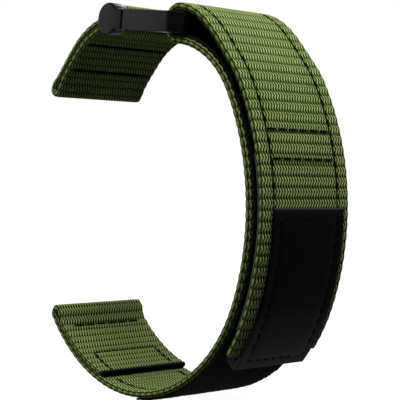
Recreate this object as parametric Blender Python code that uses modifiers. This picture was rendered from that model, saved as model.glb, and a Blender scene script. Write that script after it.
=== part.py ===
"""A woven hook-and-loop watch strap, closed as it is worn.

The long strap starts at its lug tunnel, runs round the wrist, folds round the
buckle's crossbar and closes back on itself with hook and loop tape. The short
strap is a loop of the same webbing between the buckle's hinge pin and its own
lug tunnel. X runs from the watch to the back of the wrist, Y across the strap
and Z up. The origin is the middle of the long strap's lug tunnel. Metres.
"""

import math

import bmesh
import bpy
from mathutils import Matrix, Vector

# Webbing: one woven strip, cut to two lengths
STRAP_WIDTH = 0.0200
WEBBING_THICKNESS = 0.0013
TUNNEL_OPENING = 0.0007  # the lug tunnel lies nearly flat without its spring bar
TUNNEL_LENGTH = 0.0030  # from the tunnel's middle to the seam that closes it
WEBBING_CUT = 0.0003  # the gap where one length of webbing ends and the next starts

# Long strap, as it lies round the wrist: bend radius and angle, from the lug on
LUG_HEADING = math.radians(-53.5)
BACK_BEND_RADIUS = 0.0298
BACK_BEND_ANGLE = math.radians(90.5)
HEEL_BEND_RADIUS = 0.0278
HEEL_BEND_ANGLE = math.radians(29.7)
SIDE_BEND_RADIUS = 0.0413
SIDE_BEND_ANGLE = math.radians(50.7)
CROWN_BEND_RADIUS = 0.0174
BUCKLE_ANGLE = math.radians(-8.0)  # of the buckle, hinge to crossbar, below level
FOLDED_BACK_LENGTH = 0.0183  # of the layer sewn down behind the lug tunnel
SEWN_THICKNESS = 0.0010  # of that layer, which its stitching presses flat

# End bar: the moulded strip over the cut end of the folded layer
END_BAR_LENGTH = 0.0011
END_BAR_PROUD = 0.00015
END_BAR_ROUND = 0.0004

# Hook and loop tape
LOOP_THICKNESS = 0.0004
HOOK_THICKNESS = 0.0009
TAPE_INSET = 0.0006
SEWN_GAP = 0.0001
CLOSURE_GAP = 0.0002  # between the closed hooks and loops
LOOP_START = 0.0290  # along the long strap, from the lug
TAIL_LOOP_LENGTH = 0.0262  # along the tail, from the crossbar
TAPE_SPACING = 0.0021  # from the tail's loop tape to its hook tape
HOOK_TO_TAB = 0.0006

# Tail: the end that folds back and closes
WEDGE_LENGTH = 0.0125  # in which the tail comes down onto the long strap
TAIL_LENGTH = 0.0605
TAB_OVERLAP = 0.0238  # of the front sheet on the webbing
TAB_BACK_OVERLAP = 0.0039
TAB_OVERHANG = 0.0020  # past the webbing's end
TAB_THICKNESS = 0.0006
TAB_INSET = 0.0018
TAB_CORNER = 0.0009
TAB_EDGE_ROUND = 0.00015

# Buckle: a U frame whose arms end in two eye blocks on the hinge pin
RUNNING_GAP = 0.0003
CROSSBAR_THICKNESS = 0.0029
CROSSBAR_EDGE = 0.0014  # its thickness at the outer edge
CROSSBAR_REACH = 0.0029  # from the middle of its rounded edge to its outer edge
CROSSBAR_SEAT = 0.0004  # how far its ends run into the arms
HINGE_TO_CROSSBAR = 0.0160
ARM_THICKNESS = 0.0027
ARM_HEIGHT = 0.0036
ARM_CORNER = 0.0026
EYE_RADIUS = 0.00285
EYE_NECK = 0.0041
JOINT_LINE = 0.0003
METAL_ROUND = 0.00025

# Pins
PIN_RADIUS = 0.0011
PIN_FIT = 0.0001
PIN_SEAT = 0.0017  # how deep the hinge pin goes into each eye block
DOWEL_RADIUS = 0.0006
DOWEL_FIT = 0.0001
DOWEL_SEAT = 0.0018  # how far a dowel goes into the eye block and into the arm

# Short strap: bend radius and angle, from the hinge pin on
SHORT_BEND_RADIUS = 0.017
SHORT_BEND_ANGLE = math.radians(51.0)
SHORT_END_RADIUS = 0.090
SHORT_END_ANGLE = math.radians(5.8)
HINGE_LOOP_SLACK = 0.00035  # round the pin, inside the loop of webbing
HINGE_LOOP_TAPER = 0.0055  # in which the two layers close behind the pin
SEAM_STATION = 0.0118  # where the strip's two ends meet on the inner side
SEAM_GAP = 0.0003
SEAM_DEPTH = 0.0009

# How finely curves are cut into facets
STATION_STEP = 0.0020
ROUND_SIDES = 32
ROUND_STEP = math.radians(15.0)
OVERRUN = 0.0010
WELD_DISTANCE = 0.000001

# Sizes worked out from those above
HALF_WEBBING = WEBBING_THICKNESS / 2
CLOSED_GAP = LOOP_THICKNESS + HOOK_THICKNESS + 2 * SEWN_GAP + CLOSURE_GAP
FOLD_INNER_RADIUS = CROSSBAR_THICKNESS / 2 + RUNNING_GAP + LOOP_THICKNESS + SEWN_GAP
FOLD_RADIUS = FOLD_INNER_RADIUS + HALF_WEBBING
ARM_INNER = STRAP_WIDTH / 2 + RUNNING_GAP
ARM_OUTER = ARM_INNER + ARM_THICKNESS
ARM_START = EYE_NECK + JOINT_LINE
FRAME_END = HINGE_TO_CROSSBAR + CROSSBAR_REACH
HINGE_LOOP_RADIUS = PIN_RADIUS + HINGE_LOOP_SLACK
TAPE_WIDTH = STRAP_WIDTH - 2 * TAPE_INSET
TAB_WIDTH = STRAP_WIDTH - 2 * TAB_INSET
TAB_START = TAIL_LENGTH - TAB_OVERLAP
TAB_BACK_START = TAIL_LENGTH - TAB_BACK_OVERLAP
TAB_END = TAIL_LENGTH + TAB_OVERHANG
HOOK_START = TAIL_LOOP_LENGTH + TAPE_SPACING
HOOK_END = TAB_BACK_START - HOOK_TO_TAB
CROWN_BEND_ANGLE = (
    math.pi + BUCKLE_ANGLE - LUG_HEADING
    - BACK_BEND_ANGLE - HEEL_BEND_ANGLE - SIDE_BEND_ANGLE
)

# Materials: colour, roughness, metallic
OLIVE_WEBBING = ("olive_webbing", (0.085, 0.125, 0.045), 0.85, 0.0)
LOOP_BLACK = ("loop_black", (0.012, 0.012, 0.013), 0.95, 0.0)
HOOK_BLACK = ("hook_black", (0.015, 0.015, 0.016), 0.80, 0.0)
TAB_BLACK = ("tab_black", (0.010, 0.010, 0.011), 0.50, 0.0)
BAR_BLACK = ("bar_black", (0.008, 0.008, 0.008), 0.45, 0.0)
BUCKLE_BLACK = ("buckle_black", (0.022, 0.022, 0.024), 0.38, 0.6)
PIN_STEEL = ("pin_steel", (0.45, 0.45, 0.46), 0.30, 1.0)


class Run:
    """A line in the X-Z plane made of arcs that meet without a kink."""

    def __init__(self, start, heading, bends):
        self.arcs = []
        self.length = 0.0
        point = start
        for radius, angle in bends:
            self.arcs.append((self.length, point, heading, radius))
            point = self.along_arc(point, heading, radius, radius * angle)
            heading += angle
            self.length += radius * angle

    @staticmethod
    def along_arc(point, heading, radius, length):
        turned = heading + length / radius
        return point + radius * Vector(
            (math.sin(turned) - math.sin(heading), math.cos(heading) - math.cos(turned))
        )

    def at(self, station):
        """The point at a length along the run, and the normal to its left."""
        begun = [arc for arc in self.arcs if arc[0] <= station] or self.arcs[:1]
        start, point, heading, radius = begun[-1]
        turned = heading + (station - start) / radius
        normal = Vector((-math.sin(turned), math.cos(turned)))
        return self.along_arc(point, heading, radius, station - start), normal

    def offset(self, station, distance):
        point, normal = self.at(station)
        return point + distance * normal


def smooth_fall(fraction):
    """1 at a fraction of 0, 0 at 1 and beyond, level at both ends."""
    x = min(max(fraction, 0.0), 1.0)
    return 1 - x * x * (3 - 2 * x)


def stations(start, end, step=STATION_STEP):
    count = max(1, round(abs(end - start) / step))
    return [start + (end - start) * i / count for i in range(count + 1)]


def arc_points(centre, radius, start, end):
    count = max(2, math.ceil(abs(end - start) / ROUND_STEP))
    angles = [start + (end - start) * i / count for i in range(count + 1)]
    return [centre + radius * Vector((math.cos(a), math.sin(a))) for a in angles]


def angle_of(vector):
    return math.atan2(vector.y, vector.x)


def material(finish):
    name, colour, roughness, metallic = finish
    made = bpy.data.materials.get(name)
    if made:
        return made
    made = bpy.data.materials.new(name)
    made.use_nodes = True
    made.diffuse_color = (*colour, 1.0)
    shader = made.node_tree.nodes["Principled BSDF"]
    shader.inputs["Base Color"].default_value = (*colour, 1.0)
    shader.inputs["Roughness"].default_value = roughness
    shader.inputs["Metallic"].default_value = metallic
    return made


def clear_scene():
    for thing in list(bpy.data.objects):
        bpy.data.objects.remove(thing, do_unlink=True)


def new_collection(name):
    made = bpy.data.collections.new(name)
    bpy.context.scene.collection.children.link(made)
    return made


def add_object(name, data, finish, collection):
    made = bpy.data.objects.new(name, data)
    collection.objects.link(made)
    if finish:
        data.materials.clear()
        data.materials.append(material(finish))
    return made


def outline_mesh(name, outlines, thickness):
    """A flat outline, with its holes, filled and given its thickness."""
    curve = bpy.data.curves.new(name + "_outline", "CURVE")
    curve.dimensions = "2D"
    curve.fill_mode = "BOTH"
    curve.extrude = thickness / 2
    for outline in outlines:
        spline = curve.splines.new("POLY")
        spline.points.add(len(outline) - 1)
        spline.use_cyclic_u = True
        for place, point in zip(spline.points, outline):
            place.co = (point[0], point[1], 0.0, 1.0)
    guide = bpy.data.objects.new(name + "_guide", curve)
    bpy.context.scene.collection.objects.link(guide)
    ready = guide.evaluated_get(bpy.context.evaluated_depsgraph_get())
    mesh = bpy.data.meshes.new_from_object(ready)
    bpy.data.objects.remove(guide)
    shape = bmesh.new()
    shape.from_mesh(mesh)
    bmesh.ops.remove_doubles(shape, verts=shape.verts, dist=WELD_DISTANCE)
    bmesh.ops.recalc_face_normals(shape, faces=shape.faces)
    shape.to_mesh(mesh)
    shape.free()
    mesh.name = name
    return mesh


UPRIGHT = Matrix.Rotation(math.radians(90.0), 4, "X")


def profile_solid(name, outlines, width, finish, collection):
    """An X-Z outline carried across the strap's width."""
    mesh = outline_mesh(name, outlines, width)
    mesh.transform(UPRIGHT)
    return add_object(name, mesh, finish, collection)


def cylinder(name, radius, start, end, finish, collection):
    """A round bar from one point to another."""
    start, end = Vector(start), Vector(end)
    shape = bmesh.new()
    bmesh.ops.create_cone(
        shape, cap_ends=True, segments=ROUND_SIDES,
        radius1=radius, radius2=radius, depth=(end - start).length,
    )
    mesh = bpy.data.meshes.new(name)
    shape.to_mesh(mesh)
    shape.free()
    turn = (end - start).to_track_quat("Z", "Y").to_matrix().to_4x4()
    mesh.transform(Matrix.Translation((start + end) / 2) @ turn)
    mesh.shade_smooth()
    mesh.set_sharp_from_angle(angle=math.radians(40.0))
    return add_object(name, mesh, finish, collection)


def as_cutter(thing):
    thing.hide_render = True
    thing.display_type = "WIRE"
    return thing


def boolean(thing, operation, other):
    step = thing.modifiers.new(operation.lower(), "BOOLEAN")
    step.operation = operation
    step.solver = "EXACT"
    step.object = other


def round_edges(thing, width):
    step = thing.modifiers.new("rounded_edges", "BEVEL")
    step.width = width
    step.segments = 2
    step.limit_method = "ANGLE"
    step.angle_limit = math.radians(40.0)


def carry(thing, axis):
    """Parents a piece to the empty on its joint's axis, where it already is."""
    thing.parent = axis
    thing.matrix_parent_inverse = axis.matrix_basis.inverted()


def empty_at(name, point, collection):
    made = bpy.data.objects.new(name, None)
    collection.objects.link(made)
    made.matrix_basis = Matrix.Translation((point.x, 0.0, point.y))
    return made


# Where everything lies

LUG_NORMAL = Vector((-math.sin(LUG_HEADING), math.cos(LUG_HEADING)))
LONG_RUN = Run(
    -LUG_NORMAL * (WEBBING_THICKNESS + TUNNEL_OPENING) / 2,
    LUG_HEADING,
    (
        (BACK_BEND_RADIUS, BACK_BEND_ANGLE),
        (HEEL_BEND_RADIUS, HEEL_BEND_ANGLE),
        (SIDE_BEND_RADIUS, SIDE_BEND_ANGLE),
        (CROWN_BEND_RADIUS, CROWN_BEND_ANGLE),
    ),
)
ARM_LINE = Vector((math.cos(BUCKLE_ANGLE), math.sin(BUCKLE_ANGLE)))
ARM_UP = Vector((-math.sin(BUCKLE_ANGLE), math.cos(BUCKLE_ANGLE)))
CROSSBAR_AXIS = LONG_RUN.at(LONG_RUN.length)[0] + FOLD_RADIUS * ARM_UP
HINGE_AXIS = CROSSBAR_AXIS - HINGE_TO_CROSSBAR * ARM_LINE
SHORT_RUN = Run(
    HINGE_AXIS,
    math.pi + BUCKLE_ANGLE,
    (
        (SHORT_BEND_RADIUS, SHORT_BEND_ANGLE),
        (SHORT_END_RADIUS, SHORT_END_ANGLE),
    ),
)
BUCKLE_PLACE = Matrix.Translation((HINGE_AXIS.x, 0.0, HINGE_AXIS.y)) @ Matrix.Rotation(
    -BUCKLE_ANGLE, 4, "Y"
)


def run_gap(from_crossbar):
    """The space between the long strap and the tail that lies over it."""
    spread = 2 * FOLD_INNER_RADIUS - CLOSED_GAP
    return CLOSED_GAP + spread * smooth_fall(from_crossbar / WEDGE_LENGTH)


def tail_point(from_crossbar, out):
    """A point of the tail: out is measured from its webbing's inner face."""
    station = LONG_RUN.length - from_crossbar
    return LONG_RUN.offset(station, -(HALF_WEBBING + run_gap(from_crossbar) + out))


def tunnel_bulge(from_tunnel):
    return TUNNEL_OPENING * smooth_fall(from_tunnel / TUNNEL_LENGTH)


# Long strap


def folded_thickness(station):
    pressed = WEBBING_THICKNESS - SEWN_THICKNESS
    return SEWN_THICKNESS + pressed * smooth_fall(station / TUNNEL_LENGTH)


def long_webbing(collection):
    """The strip from the crossbar to the lug, round the tunnel and back."""
    run = LONG_RUN
    tip = run.length - WEBBING_CUT / 2
    nose_centre = Vector((0.0, 0.0))
    nose = WEBBING_THICKNESS + TUNNEL_OPENING / 2
    outer = [run.offset(s, -HALF_WEBBING) for s in reversed(stations(0.0, tip))]
    around = arc_points(
        nose_centre, nose, angle_of(-LUG_NORMAL), angle_of(-LUG_NORMAL) - math.pi
    )
    folded = [
        run.offset(s, HALF_WEBBING + tunnel_bulge(s) + folded_thickness(s))
        for s in stations(0.0, FOLDED_BACK_LENGTH, TUNNEL_LENGTH / 3)
    ]
    inner = [run.offset(s, HALF_WEBBING) for s in stations(FOLDED_BACK_LENGTH, tip)]
    outline = outer + around[1:-1] + folded + inner
    near = arc_points(
        nose_centre,
        TUNNEL_OPENING / 2,
        angle_of(-LUG_NORMAL),
        angle_of(-LUG_NORMAL) - math.pi,
    )
    closing = stations(0.0, TUNNEL_LENGTH, TUNNEL_LENGTH / 4)
    upper = [run.offset(s, HALF_WEBBING + tunnel_bulge(s)) for s in closing[1:]]
    lower = [run.offset(s, HALF_WEBBING) for s in reversed(closing[1:-1])]
    return profile_solid(
        "long_webbing", [outline, near + upper + lower], STRAP_WIDTH,
        OLIVE_WEBBING, collection,
    )


def webbing_end_bar(collection):
    """A bar with a rounded top, standing against the folded layer's cut end."""
    base, normal = LONG_RUN.at(FOLDED_BACK_LENGTH + SEWN_GAP + END_BAR_LENGTH / 2)
    along = Vector((normal.y, -normal.x))
    low = base + normal * (HALF_WEBBING + SEWN_GAP)
    height = SEWN_THICKNESS + END_BAR_PROUD - SEWN_GAP
    half = END_BAR_LENGTH / 2
    round_centre = low + normal * (height - half)
    start = angle_of(along)
    top = arc_points(round_centre, half, start, start + math.pi)
    outline = [low - along * half, low + along * half] + top
    made = profile_solid(
        "webbing_end_bar", [outline], STRAP_WIDTH, BAR_BLACK, collection
    )
    round_edges(made, END_BAR_ROUND)
    return made


def loop_tape(collection):
    """The loop strip sewn along the long strap's outer face."""
    low = HALF_WEBBING + SEWN_GAP
    places = stations(LOOP_START, LONG_RUN.length - WEBBING_CUT / 2)
    inner = [LONG_RUN.offset(s, -low) for s in places]
    outer = [LONG_RUN.offset(s, -low - LOOP_THICKNESS) for s in reversed(places)]
    return profile_solid(
        "loop_tape", [inner + outer], TAPE_WIDTH, LOOP_BLACK, collection
    )


def half_ring(name, inner, thickness, width, finish, collection):
    """A strip bent round the crossbar's rounded edge."""
    cut = WEBBING_CUT / 2 / (inner + thickness)
    down = angle_of(-ARM_UP) - cut
    up = down - math.pi + 2 * cut
    outline = arc_points(CROSSBAR_AXIS, inner, down, up) + arc_points(
        CROSSBAR_AXIS, inner + thickness, up, down
    )
    return profile_solid(name, [outline], width, finish, collection)


# Tail


def tail_strip(name, start, end, low, high, width, finish, collection):
    """A layer of the tail between two distances from its webbing's inner face."""
    places = stations(start, end)
    inner = [tail_point(s, low) for s in places]
    outer = [tail_point(s, high) for s in reversed(places)]
    return profile_solid(name, [inner + outer], width, finish, collection)


def tail_webbing(collection):
    return tail_strip(
        "tail_webbing", WEBBING_CUT / 2, TAIL_LENGTH, 0.0, WEBBING_THICKNESS,
        STRAP_WIDTH, OLIVE_WEBBING, collection,
    )


def tail_loop_tape(collection):
    return tail_strip(
        "tail_loop_tape", WEBBING_CUT / 2, TAIL_LOOP_LENGTH,
        -SEWN_GAP - LOOP_THICKNESS, -SEWN_GAP, TAPE_WIDTH, LOOP_BLACK, collection,
    )


def hook_tape(collection):
    return tail_strip(
        "hook_tape", HOOK_START, HOOK_END,
        -SEWN_GAP - HOOK_THICKNESS, -SEWN_GAP, TAPE_WIDTH, HOOK_BLACK, collection,
    )


def tab_half_width(from_end):
    """Half the tab's width, less where its end corners are rounded."""
    into = max(0.0, TAB_CORNER - from_end)
    return TAB_WIDTH / 2 - TAB_CORNER + math.sqrt(TAB_CORNER**2 - into**2)


def tab_plate(name, start, out, thickness, collection):
    """A leather-like plate laid along the tail, with a round-cornered end."""
    straight = stations(start, TAB_END - TAB_CORNER)
    turns = stations(0.0, math.pi / 2, ROUND_STEP)
    rounded = [TAB_END - TAB_CORNER * (1 - math.sin(a)) for a in turns[1:]]
    places = straight + rounded
    shape = bmesh.new()
    bmesh.ops.create_grid(shape, x_segments=1, y_segments=len(places) - 1, size=1.0)
    for corner in shape.verts:
        row = round((corner.co.y + 1) / 2 * (len(places) - 1))
        side = 1 if corner.co.x > 0 else -1
        point = tail_point(places[row], out + thickness / 2)
        half = tab_half_width(TAB_END - places[row])
        corner.co = (point.x, side * half, point.y)
    mesh = bpy.data.meshes.new(name)
    shape.to_mesh(mesh)
    shape.free()
    made = add_object(name, mesh, TAB_BLACK, collection)
    shell = made.modifiers.new("thickness", "SOLIDIFY")
    shell.thickness = thickness
    shell.offset = 0.0
    shell.use_even_offset = True
    round_edges(made, TAB_EDGE_ROUND)
    return made


def pull_tab_front(collection):
    return tab_plate(
        "pull_tab_front", TAB_START, WEBBING_THICKNESS + SEWN_GAP, TAB_THICKNESS,
        collection,
    )


def pull_tab_back(collection):
    return tab_plate(
        "pull_tab_back", TAB_BACK_START, -SEWN_GAP - HOOK_THICKNESS, HOOK_THICKNESS,
        collection,
    )


# Buckle, in its own axes: x from the hinge to the crossbar, y across, z up


def crossbar_outline():
    """Full and round where the webbing turns, thinner at its outer edge."""
    middle = Vector((HINGE_TO_CROSSBAR, 0.0))
    turn = arc_points(middle, CROSSBAR_THICKNESS / 2, math.pi / 2, 3 * math.pi / 2)
    edge = CROSSBAR_EDGE / 2
    return turn + [Vector((FRAME_END, -edge)), Vector((FRAME_END, edge))]


def arm_outline(side):
    """One arm seen from above, with the frame's outer corner rounded."""
    centre = Vector((FRAME_END - ARM_CORNER, ARM_OUTER - ARM_CORNER))
    outline = [Vector((ARM_START, ARM_INNER)), Vector((FRAME_END, ARM_INNER))]
    outline += arc_points(centre, ARM_CORNER, 0.0, math.pi / 2)
    outline += [Vector((ARM_START, ARM_OUTER))]
    return [Vector((point.x, side * point.y)) for point in outline]


def dowel(name, side, radius, seat, finish, collection):
    """A round pin across the joint line, from the eye block into the arm."""
    y = side * (ARM_INNER + ARM_OUTER) / 2
    middle = EYE_NECK + JOINT_LINE / 2
    return cylinder(
        name, radius, (middle - seat, y, 0.0), (middle + seat, y, 0.0),
        finish, collection,
    )


def dowel_reach():
    return JOINT_LINE / 2 + DOWEL_SEAT


def buckle_frame(collection, cutters):
    width = 2 * (ARM_INNER + CROSSBAR_SEAT)
    made = profile_solid(
        "buckle_frame", [crossbar_outline()], width, BUCKLE_BLACK, collection
    )
    placed = [made]
    for word, side in (("near", -1), ("far", 1)):
        mesh = outline_mesh("arm_form_" + word, [arm_outline(side)], ARM_HEIGHT)
        arm = as_cutter(add_object("arm_form_" + word, mesh, None, cutters))
        round_edges(arm, METAL_ROUND)
        boolean(made, "UNION", arm)
        placed.append(arm)
    for word, side in (("near", -1), ("far", 1)):
        reach = dowel_reach() + DOWEL_FIT
        bore = as_cutter(
            dowel("arm_bore_" + word, side, DOWEL_RADIUS + DOWEL_FIT, reach, None, cutters)
        )
        boolean(made, "DIFFERENCE", bore)
        placed.append(bore)
    return placed


def eye_outline():
    """A round eye with a straight neck."""
    half = ARM_HEIGHT / 2
    start = math.asin(half / EYE_RADIUS)
    eye = arc_points(Vector((0.0, 0.0)), EYE_RADIUS, start, 2 * math.pi - start)
    return eye + [Vector((EYE_NECK, -half)), Vector((EYE_NECK, half))]


def eye_block(word, side, collection, cutters):
    made = profile_solid(
        "eye_block_" + word, [eye_outline()], ARM_THICKNESS, BUCKLE_BLACK, collection
    )
    middle = side * (ARM_INNER + ARM_OUTER) / 2
    made.data.transform(Matrix.Translation((0.0, middle, 0.0)))
    round_edges(made, METAL_ROUND)
    reach = dowel_reach() + DOWEL_FIT
    dowel_bore = as_cutter(
        dowel("eye_dowel_bore_" + word, side, DOWEL_RADIUS + DOWEL_FIT, reach, None, cutters)
    )
    seat = ARM_INNER + PIN_SEAT
    pin_bore = as_cutter(
        cylinder(
            "eye_pin_bore_" + word, PIN_RADIUS + PIN_FIT,
            (0.0, side * (ARM_INNER - OVERRUN), 0.0), (0.0, side * seat, 0.0),
            None, cutters,
        )
    )
    boolean(made, "DIFFERENCE", dowel_bore)
    boolean(made, "DIFFERENCE", pin_bore)
    return [made, dowel_bore, pin_bore]


def hinge_pin(collection):
    end = ARM_INNER + PIN_SEAT - PIN_FIT
    return cylinder(
        "hinge_pin", PIN_RADIUS, (0.0, -end, 0.0), (0.0, end, 0.0),
        PIN_STEEL, collection,
    )


# Short strap


def short_half_thickness(station):
    """Two layers, swelling round the hinge pin and round the lug tunnel."""
    loop = HINGE_LOOP_RADIUS * smooth_fall(station / HINGE_LOOP_TAPER)
    from_lug = SHORT_RUN.length - station
    return WEBBING_THICKNESS + loop + tunnel_bulge(from_lug) / 2


def seam_notch():
    """The groove where the strip's two ends meet."""
    low, high = SEAM_STATION - SEAM_GAP / 2, SEAM_STATION + SEAM_GAP / 2
    top = short_half_thickness(SEAM_STATION)
    return [
        SHORT_RUN.offset(low, top),
        SHORT_RUN.offset(low, top - SEAM_DEPTH),
        SHORT_RUN.offset(high, top - SEAM_DEPTH),
        SHORT_RUN.offset(high, top),
    ]


def short_side(places, sign, inset):
    return [
        SHORT_RUN.offset(s, sign * (short_half_thickness(s) - inset)) for s in places
    ]


def short_webbing(collection):
    run = SHORT_RUN
    taper = stations(0.0, HINGE_LOOP_TAPER, HINGE_LOOP_TAPER / 6)
    tunnel = stations(run.length - TUNNEL_LENGTH, run.length, TUNNEL_LENGTH / 4)
    body = stations(HINGE_LOOP_TAPER, run.length - TUNNEL_LENGTH)
    places = taper + body[1:-1] + tunnel
    before = [s for s in places if s < SEAM_STATION - SEAM_GAP]
    after = [s for s in places if s > SEAM_STATION + SEAM_GAP]
    start, first = run.at(0.0)
    end, last = run.at(run.length)
    nose = short_half_thickness(run.length)
    loop = short_half_thickness(0.0)
    outline = (
        short_side(before, 1, 0.0)
        + seam_notch()
        + short_side(after, 1, 0.0)
        + arc_points(end, nose, angle_of(last), angle_of(last) - math.pi)[1:-1]
        + short_side(list(reversed(places)), -1, 0.0)
        + arc_points(start, loop, angle_of(-first), angle_of(-first) - math.pi)[1:-1]
    )
    hinge_hole = (
        short_side(taper[:-1], 1, WEBBING_THICKNESS)
        + [run.at(HINGE_LOOP_TAPER)[0]]
        + short_side(list(reversed(taper[:-1])), -1, WEBBING_THICKNESS)
        + arc_points(
            start, HINGE_LOOP_RADIUS, angle_of(-first), angle_of(-first) - math.pi
        )[1:-1]
    )
    opening = TUNNEL_OPENING / 2
    tunnel_hole = (
        [run.at(run.length - TUNNEL_LENGTH)[0]]
        + short_side(tunnel[1:], 1, WEBBING_THICKNESS)
        + arc_points(end, opening, angle_of(last), angle_of(last) - math.pi)[1:-1]
        + short_side(list(reversed(tunnel[1:])), -1, WEBBING_THICKNESS)
    )
    return profile_solid(
        "short_webbing", [outline, hinge_hole, tunnel_hole], STRAP_WIDTH,
        OLIVE_WEBBING, collection,
    )


def build():
    clear_scene()
    parts = new_collection("watch_strap")
    cutters = new_collection("cutters")
    peel_axis = empty_at("peel_axis", CROSSBAR_AXIS, parts)
    tilt_axis = empty_at("tilt_axis", CROSSBAR_AXIS, parts)
    strap_axis = empty_at("strap_axis", HINGE_AXIS, parts)

    long_webbing(parts)
    webbing_end_bar(parts)
    loop_tape(parts)
    half_ring(
        "webbing_fold", FOLD_INNER_RADIUS, WEBBING_THICKNESS, STRAP_WIDTH,
        OLIVE_WEBBING, parts,
    )
    half_ring(
        "loop_tape_fold", FOLD_INNER_RADIUS - SEWN_GAP - LOOP_THICKNESS,
        LOOP_THICKNESS, TAPE_WIDTH, LOOP_BLACK, parts,
    )

    tail = (tail_webbing, tail_loop_tape, hook_tape, pull_tab_front, pull_tab_back)
    for make in tail:
        carry(make(parts), peel_axis)

    buckle = buckle_frame(parts, cutters)
    for word, side in (("near", -1), ("far", 1)):
        buckle += eye_block(word, side, parts, cutters)
        buckle.append(
            dowel(
                "frame_dowel_" + word, side, DOWEL_RADIUS, dowel_reach(),
                PIN_STEEL, parts,
            )
        )
    buckle.append(hinge_pin(parts))
    for thing in buckle:
        thing.matrix_basis = BUCKLE_PLACE
        carry(thing, tilt_axis)

    carry(short_webbing(parts), strap_axis)
    bpy.context.view_layer.update()


build()
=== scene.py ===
"""A woven hook-and-loop watch strap, photographed closed on a white table.

The pieces come in the order in which the strap is put together: the woven
webbing, its hook and loop tapes, the bar on its cut end, the pull tab, the
stitching, and last the black buckle with its pins. Metres, in the CAD's frame.
"""

import math

import bmesh
import bpy
import numpy as np
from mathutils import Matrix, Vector


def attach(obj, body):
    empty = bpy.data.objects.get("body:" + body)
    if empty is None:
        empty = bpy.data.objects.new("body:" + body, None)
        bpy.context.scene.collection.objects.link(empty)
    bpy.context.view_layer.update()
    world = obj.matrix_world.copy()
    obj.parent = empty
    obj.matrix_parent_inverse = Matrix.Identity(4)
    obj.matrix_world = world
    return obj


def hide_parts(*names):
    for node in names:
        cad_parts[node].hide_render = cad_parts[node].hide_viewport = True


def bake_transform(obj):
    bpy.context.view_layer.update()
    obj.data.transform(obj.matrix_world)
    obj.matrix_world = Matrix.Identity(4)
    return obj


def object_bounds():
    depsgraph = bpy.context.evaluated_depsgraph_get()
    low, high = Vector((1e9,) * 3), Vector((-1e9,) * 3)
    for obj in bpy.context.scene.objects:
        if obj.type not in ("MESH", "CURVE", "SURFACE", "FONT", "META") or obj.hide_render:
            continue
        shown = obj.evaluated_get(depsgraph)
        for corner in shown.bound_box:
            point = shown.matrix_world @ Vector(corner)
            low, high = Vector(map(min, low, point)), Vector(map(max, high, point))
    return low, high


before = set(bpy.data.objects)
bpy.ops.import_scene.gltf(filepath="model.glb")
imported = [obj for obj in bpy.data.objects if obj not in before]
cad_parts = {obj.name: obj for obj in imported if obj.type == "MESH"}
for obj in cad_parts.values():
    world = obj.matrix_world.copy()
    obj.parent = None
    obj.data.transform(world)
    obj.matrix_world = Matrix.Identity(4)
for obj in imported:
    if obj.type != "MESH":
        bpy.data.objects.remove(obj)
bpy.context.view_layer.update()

# One length of 20 mm nylon webbing, woven with a rib across every 1.7 mm. It is
# rolled round the lug's bar, sewn down on itself, and runs round the wrist to
# the buckle's crossbar.

WEBBING_WIDTH, WEBBING_THICKNESS = 0.0200, 0.0013
HALF_WEBBING = WEBBING_THICKNESS / 2
TUNNEL_OPENING, TUNNEL_LENGTH = 0.0007, 0.0030
SEWN_THICKNESS = 0.0010
FOLDED_BACK_LENGTH = 0.0183
LUG_HEADING = math.radians(-53.5)
BUCKLE_ANGLE = math.radians(-8.0)

# The radius and turn of each arc round the wrist. The last turns what is left.
WRIST_BENDS = [
    (0.0298, math.radians(90.5)),
    (0.0278, math.radians(29.7)),
    (0.0413, math.radians(50.7)),
]
last_turn = math.pi + BUCKLE_ANGLE - LUG_HEADING - sum(turn for _, turn in WRIST_BENDS)
WRIST_BENDS.append((0.0174, last_turn))

# The weave: points laid to a rib, to a yarn and round a plaited edge, and how
# deep the grooves between ribs and yarns are and a seam pulls them.
RIB_ROWS, YARN_COLUMNS, EDGE_TURNS = 6, 4, 7
RIB_PITCH, RIB_GROOVE = 0.00168, 0.00015
YARN_PITCH, YARN_GROOVE = 0.00062, 0.00016
YARN_ROUNDNESS = 0.8
SEAM_DEPTH = 0.00024

# The plaited edge: its reach past the face, how far its waist draws in between
# two ribs, how much smaller every other loop is, and the yarns counted over it.
FACE_HALF = 0.00965
EDGE_RADIUS = 0.00055
EDGE_ROUNDNESS = 0.75
EDGE_WAIST, WAIST_WIDTH, WAIST_DEPTH = 0.26, 0.22, 0.00005
EDGE_UNEVEN, UNEVEN_WIDTH = 0.07, 0.16
EDGE_YARNS = 1.44


def lay_line(start, heading, bends):
    """Arcs laid end to end. Gives a function of the length along them."""
    arcs, begun, point = [], 0.0, np.array(start, float)
    for radius, angle in bends:
        arcs.append((begun, point, heading, radius))
        turned = heading + angle
        point = point + radius * np.array(
            [math.sin(turned) - math.sin(heading), math.cos(heading) - math.cos(turned)]
        )
        heading, begun = turned, begun + radius * angle

    def at(length, off=0.0):
        length = np.atleast_1d(np.asarray(length, float))
        points, sides = np.zeros((len(length), 2)), np.zeros((len(length), 2))
        for first, place, towards, radius in arcs:
            here = (length >= first) | (first == 0.0)
            turned = towards + (length[here] - first) / radius
            points[here] = place + radius * np.stack(
                [np.sin(turned) - math.sin(towards), math.cos(towards) - np.cos(turned)], 1
            )
            sides[here] = np.stack([-np.sin(turned), np.cos(turned)], 1)
        return points + np.reshape(off, (-1, 1)) * sides, sides

    return at, begun


def eased(fraction):
    """1 at 0, 0 at 1 and beyond, level at both ends."""
    x = np.clip(fraction, 0.0, 1.0)
    return 1 - x * x * (3 - 2 * x)


def near(distance, width):
    """1 at no distance, falling away over a width."""
    return np.exp(-((distance / width) ** 2))


DIP_WIDTH = 0.11
HALFWAY_DIP, HALFWAY_WIDTH = 0.15, 0.08


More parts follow.
